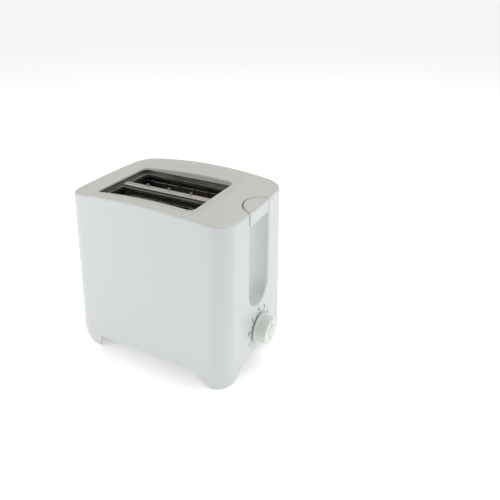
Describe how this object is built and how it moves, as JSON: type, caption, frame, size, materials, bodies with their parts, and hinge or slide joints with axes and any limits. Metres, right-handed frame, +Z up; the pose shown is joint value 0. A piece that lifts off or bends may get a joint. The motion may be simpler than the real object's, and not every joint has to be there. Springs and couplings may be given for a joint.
{
  "type": "pop up toaster",
  "caption": "Pop up toaster with wide bread slots, a lever in a round-backed channel, a browning knob with a cancel button, and a slide-out crumb tray.",
  "frame": {"origin": "on the surface the toaster stands on, under the middle of its footprint with the knob and the cord inlet included", "axes": "+Z up, +X towards the end with the lever and the knob, -Y towards the long face away from the crumb tray"},
  "size_m": [0.2548, 0.1747, 0.22],
  "materials": {
    "housing_white": "satin-gloss moulded white",
    "control_grey": "satin moulded pale grey",
    "foot_rubber": "matte",
    "steel": "dull pressed sheet",
    "bright_steel": "aluminised sheet",
    "wire": "plated wire",
    "mica": "layered mica board",
    "resistance_ribbon": "oxidised nickel-chrome",
    "copper_winding": "enamelled copper",
    "contact_brass": "bright",
    "circuit_board": "phenolic board",
    "black_plastic": "moulded black",
    "yellow_plastic": "potted case"
  },
  "bodies": {
    "main_body": {"outer_housing": "housing_white", "slot_plate": "steel", "slot_divider": "bright_steel", "chassis_end_lever": "steel", "chassis_end_cord": "steel", "reflector_front": "bright_steel", "reflector_rear": "bright_steel", "heater_board_front": "mica", "heater_board_centre": "mica", "heater_board_rear": "mica", "heater_ribbon_front": "resistance_ribbon", "heater_ribbon_centre": "resistance_ribbon", "heater_ribbon_rear": "resistance_ribbon", "bread_guard_front_outer": "wire", "bread_guard_front_inner": "wire", "bread_guard_rear_outer": "wire", "bread_guard_rear_inner": "wire", "guide_rod": "bright_steel", "return_spring": "wire", "magnet_core": "steel", "magnet_coil": "copper_winding", "switch_block": "black_plastic", "contact_leaf_1": "contact_brass", "contact_leaf_2": "contact_brass", "control_board": "circuit_board", "film_capacitor": "yellow_plastic", "electrolytic_capacitor": "black_plastic", "timer_chip": "black_plastic", "cancel_switch": "black_plastic", "potentiometer_body": "bright_steel", "base_plate": "steel", "foot_pad_1": "foot_rubber", "foot_pad_2": "foot_rubber", "foot_pad_3": "foot_rubber", "foot_pad_4": "foot_rubber", "base_screw_1": "wire", "base_screw_2": "wire", "base_screw_3": "wire", "base_screw_4": "wire", "cord_inlet": "black_plastic", "terminal_block": "black_plastic"},
    "carriage": {"carriage_bracket": "steel", "lever_knob": "housing_white", "bread_rack_front": "steel", "bread_rack_rear": "steel", "armature_plate": "steel"},
    "knob": {"browning_knob": "control_grey", "potentiometer_shaft": "bright_steel"},
    "button": {"cancel_button": "control_grey"},
    "tray": {"crumb_tray": "bright_steel", "crumb_tray_handle": "housing_white"}
  },
  "joints": [
    {"name": "carriage_slide", "type": "slide", "parent": "main_body", "child": "carriage", "axis": [0, 0, 1], "range_m": [-0.076, 0.01], "stiffness_N_per_m": 120, "springref_m": 0.008, "deforming": ["return_spring"]},
    {"name": "browning_turn", "type": "hinge", "parent": "main_body", "child": "knob", "pos_m": [0.1097, 0, 0.045], "axis": [1, 0, 0], "range_deg": [-135, 135]},
    {"name": "cancel_press", "type": "slide", "parent": "main_body", "child": "button", "axis": [-1, 0, 0], "range_m": [0, 0.002], "stiffness_N_per_m": 400},
    {"name": "tray_slide", "type": "slide", "parent": "main_body", "child": "tray", "axis": [0, 1, 0], "range_m": [0, 0.12]}
  ]
}
